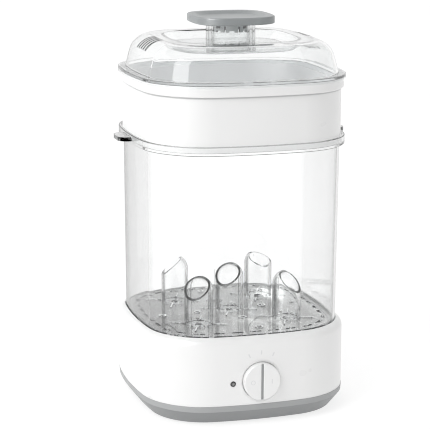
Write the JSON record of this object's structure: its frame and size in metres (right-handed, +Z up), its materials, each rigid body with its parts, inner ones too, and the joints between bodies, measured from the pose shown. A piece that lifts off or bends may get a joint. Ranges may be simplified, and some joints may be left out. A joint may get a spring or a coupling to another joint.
{
  "type": "baby bottle steriliser",
  "caption": "Electric steam steriliser and dryer: round-cornered square base with selector knob, clear chamber over a post rack, white ring with basket, clear domed lid with disc handle.",
  "frame": {"origin": "on the standing surface, under the centre of the base", "axes": "+Z up, front with the selector knob is -Y, right-hand side seen from the front is +X"},
  "size_m": [0.232, 0.2184, 0.384],
  "materials": {
    "white_plastic": "smooth satin-gloss moulding",
    "grey_plastic": "fine matte moulding",
    "clear_plastic": "clear, polished",
    "grey_insert": "satin moulding",
    "basket_grey": "satin moulding",
    "silicone": "matte silicone",
    "steel_bright": "bright pressed stainless",
    "steel_zinc": "zinc plated",
    "cast_alloy": "as cast",
    "element_steel": "drawn tube, oxidised",
    "ivory_plastic": "heat resistant moulding",
    "black_plastic": "glass filled moulding",
    "copper_windings": "enamelled winding",
    "lens_dark": "smoked, polished",
    "lamp_clear": "epoxy",
    "board_green": "solder mask",
    "filter_foam": "open cell foam"
  },
  "bodies": {
    "base": {"base_housing": "white_plastic", "bottom_cover": "grey_plastic", "rubber_feet": "silicone", "cover_screws": "steel_zinc", "basin_gasket": "silicone", "water_basin": "steel_bright", "air_spout": "ivory_plastic", "spout_nut": "ivory_plastic", "heater_casting": "cast_alloy", "heating_element": "element_steel", "heater_bracket": "steel_zinc", "bracket_spacers": "steel_zinc", "bracket_nuts": "steel_zinc", "bracket_screws": "steel_zinc", "thermostat": "ivory_plastic", "thermal_fuse": "ivory_plastic", "fuse_clip": "steel_zinc", "temperature_sensor": "steel_zinc", "blower_case": "black_plastic", "blower_cover": "black_plastic", "fan_stator": "copper_windings", "heater_duct": "black_plastic", "drying_heater": "cast_alloy", "rotary_switch": "black_plastic", "indicator_lens": "lens_dark", "indicator_lamp": "lamp_clear", "control_board": "board_green", "board_screws": "steel_zinc", "supply_board": "board_green", "supply_parts": "black_plastic", "cord_gland": "grey_plastic"},
    "selector": {"selector_knob": "white_plastic", "knob_pointer": "grey_plastic", "switch_shaft": "steel_zinc"},
    "fan_rotor": {"fan_impeller": "black_plastic", "fan_shaft": "steel_zinc"},
    "filter": {"filter_door": "white_plastic", "air_filter": "filter_foam"},
    "rack": {"bottle_rack": "clear_plastic"},
    "steam_chamber": {"chamber": "clear_plastic"},
    "ring": {"upper_ring": "white_plastic"},
    "basket": {"accessory_basket": "basket_grey"},
    "lid": {"lid_shell": "clear_plastic", "handle_disc": "grey_plastic", "handle_insert": "grey_insert"}
  },
  "joints": [
    {"name": "selector_turn", "type": "hinge", "parent": "base", "child": "selector", "pos_m": [0, -0.105, 0.0434], "axis": [0, -1, 0], "range_deg": [-90, 90]},
    {"name": "fan_spin", "type": "hinge", "parent": "base", "child": "fan_rotor", "pos_m": [-0.022, 0.036, 0.018], "axis": [0, 0, 1], "continuous": true},
    {"name": "filter_pull", "type": "slide", "parent": "base", "child": "filter", "axis": [0, 1, 0], "range_m": [0, 0.03]},
    {"name": "rack_lift", "type": "slide", "parent": "base", "child": "rack", "axis": [0, 0, 1], "range_m": [0, 0.06]},
    {"name": "chamber_lift", "type": "slide", "parent": "rack", "child": "steam_chamber", "axis": [0, 0, 1], "range_m": [0, 0.08]},
    {"name": "ring_lift", "type": "slide", "parent": "steam_chamber", "child": "ring", "axis": [0, 0, 1], "range_m": [0, 0.06]},
    {"name": "basket_lift", "type": "slide", "parent": "ring", "child": "basket", "axis": [0, 0, 1], "range_m": [0, 0.07]},
    {"name": "lid_lift", "type": "slide", "parent": "basket", "child": "lid", "axis": [0, 0, 1], "range_m": [0, 0.08]}
  ]
}
